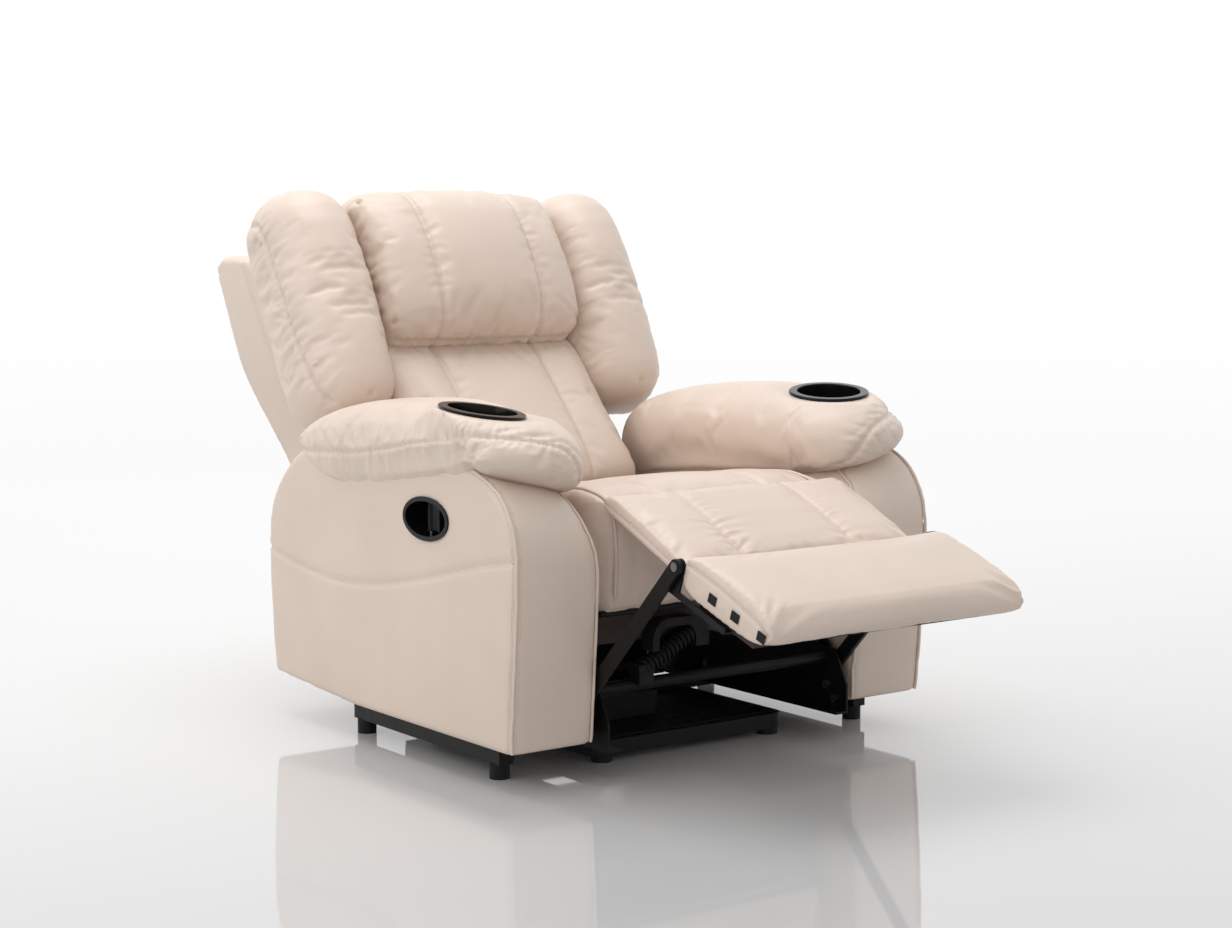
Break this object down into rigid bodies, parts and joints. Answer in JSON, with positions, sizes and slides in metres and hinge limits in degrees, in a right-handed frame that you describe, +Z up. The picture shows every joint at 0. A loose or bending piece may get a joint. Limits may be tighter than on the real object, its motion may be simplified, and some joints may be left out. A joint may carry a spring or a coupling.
{
  "type": "recliner armchair",
  "caption": "Padded leather recliner armchair with wide cushioned arms, cup holders, a side release handle and an open footrest.",
  "frame": {"origin": "on the floor under the middle of the open chair (bottom centre of its bounding box)", "axes": "+X to the sitter's left, -Y the way the chair faces, +Z up"},
  "size_m": [0.994, 1.6805, 1.0539],
  "materials": {
    "leather_cover": "satin",
    "padded_leather": "satin",
    "gloss_black_plastic": "gloss",
    "matte_black_plastic": "matte",
    "black_steel": "satin",
    "zinc_steel": "satin",
    "wood": "matte",
    "webbing": "matte"
  },
  "bodies": {
    "chair_base": {"arm_frame_left": "wood", "arm_frame_right": "wood", "arm_front_cover_left": "leather_cover", "arm_front_cover_right": "leather_cover", "arm_inner_cover_left": "leather_cover", "arm_inner_cover_right": "leather_cover", "arm_outer_cover_left": "leather_cover", "arm_outer_cover_right": "leather_cover", "arm_pad_left": "padded_leather", "arm_pad_right": "padded_leather", "arm_rear_cover_left": "leather_cover", "arm_rear_cover_right": "leather_cover", "arm_skids": "black_steel", "base_cross_bars": "black_steel", "base_feet": "matte_black_plastic", "base_front_rail": "black_steel", "base_pan": "black_steel", "base_rear_rail": "black_steel", "base_side_rails": "black_steel", "control_box": "matte_black_plastic", "cup_holder_left": "gloss_black_plastic", "cup_holder_right": "gloss_black_plastic", "drive_barrel": "matte_black_plastic", "drive_housing": "matte_black_plastic", "flap_rod": "zinc_steel", "frame_bolts": "zinc_steel", "front_cross_tube": "black_steel", "handle_recess": "gloss_black_plastic", "lever_pin": "zinc_steel", "pivot_pins": "zinc_steel", "seat_cushion": "padded_leather", "seat_front_board": "wood", "seat_front_rail": "wood", "seat_rear_rail": "wood", "seat_side_rails": "wood", "seat_webbing": "webbing", "side_plates": "black_steel", "skid_glides": "matte_black_plastic"},
    "back": {"back_apron": "leather_cover", "back_bolster_left": "padded_leather", "back_bolster_right": "padded_leather", "back_brackets": "black_steel", "back_posts": "wood", "back_rails": "wood", "back_shell": "leather_cover", "back_webbing": "webbing", "headrest": "padded_leather", "lumbar_cushion": "padded_leather"},
    "front_crank_set": {"front_cranks": "black_steel", "elbow_pins": "zinc_steel"},
    "lift_link_set": {"lift_links": "black_steel"},
    "rear_crank_set": {"rear_cranks": "black_steel"},
    "footrest": {"footrest_board": "wood", "footrest_brackets": "black_steel", "footrest_clips": "matte_black_plastic", "footrest_cushion": "padded_leather", "footrest_pins": "zinc_steel"},
    "flap": {"flap_board": "wood", "flap_cushion": "padded_leather"},
    "release_lever_body": {"release_lever": "matte_black_plastic"}
  },
  "joints": [
    {"name": "footrest_extend", "type": "hinge", "parent": "chair_base", "child": "front_crank_set", "pos_m": [0, -0.27, 0.235], "axis": [-1, 0, 0], "range_deg": [-66, 23]},
    {"name": "link_level", "type": "hinge", "parent": "front_crank_set", "child": "lift_link_set", "pos_m": [0, -0.35705, 0.14391], "axis": [-1, 0, 0], "range_deg": [-23.1, 66.1]},
    {"name": "rear_crank_turn", "type": "hinge", "parent": "chair_base", "child": "rear_crank_set", "pos_m": [0, -0.20748, 0.17026], "axis": [-1, 0, 0], "range_deg": [-66.1, 23.1]},
    {"name": "footrest_tilt", "type": "hinge", "parent": "lift_link_set", "child": "footrest", "pos_m": [0, -0.60713, 0.40287], "axis": [-1, 0, 0], "range_deg": [-69.7, 24.4]},
    {"name": "flap_swing", "type": "hinge", "parent": "chair_base", "child": "flap", "pos_m": [0, -0.375, 0.478], "axis": [-1, 0, 0], "range_deg": [-64.2, 22.5]},
    {"name": "back_recline", "type": "hinge", "parent": "chair_base", "child": "back", "pos_m": [0, 0.275, 0.33], "axis": [-1, 0, 0], "range_deg": [-12, 20]},
    {"name": "lever_pull", "type": "hinge", "parent": "chair_base", "child": "release_lever_body", "pos_m": [-0.451, -0.104, 0.447], "axis": [0, 0, -1], "range_deg": [0, 22], "stiffness_Nm_per_rad": 0.4, "springref_deg": -5.73}
  ],
  "couplings": [
    {"joint": "link_level", "follows": "footrest_extend", "ratio": -1},
    {"joint": "rear_crank_turn", "follows": "footrest_extend", "ratio": 1},
    {"joint": "footrest_tilt", "follows": "footrest_extend", "ratio": 1.054},
    {"joint": "flap_swing", "follows": "footrest_extend", "ratio": 0.971}
  ]
}
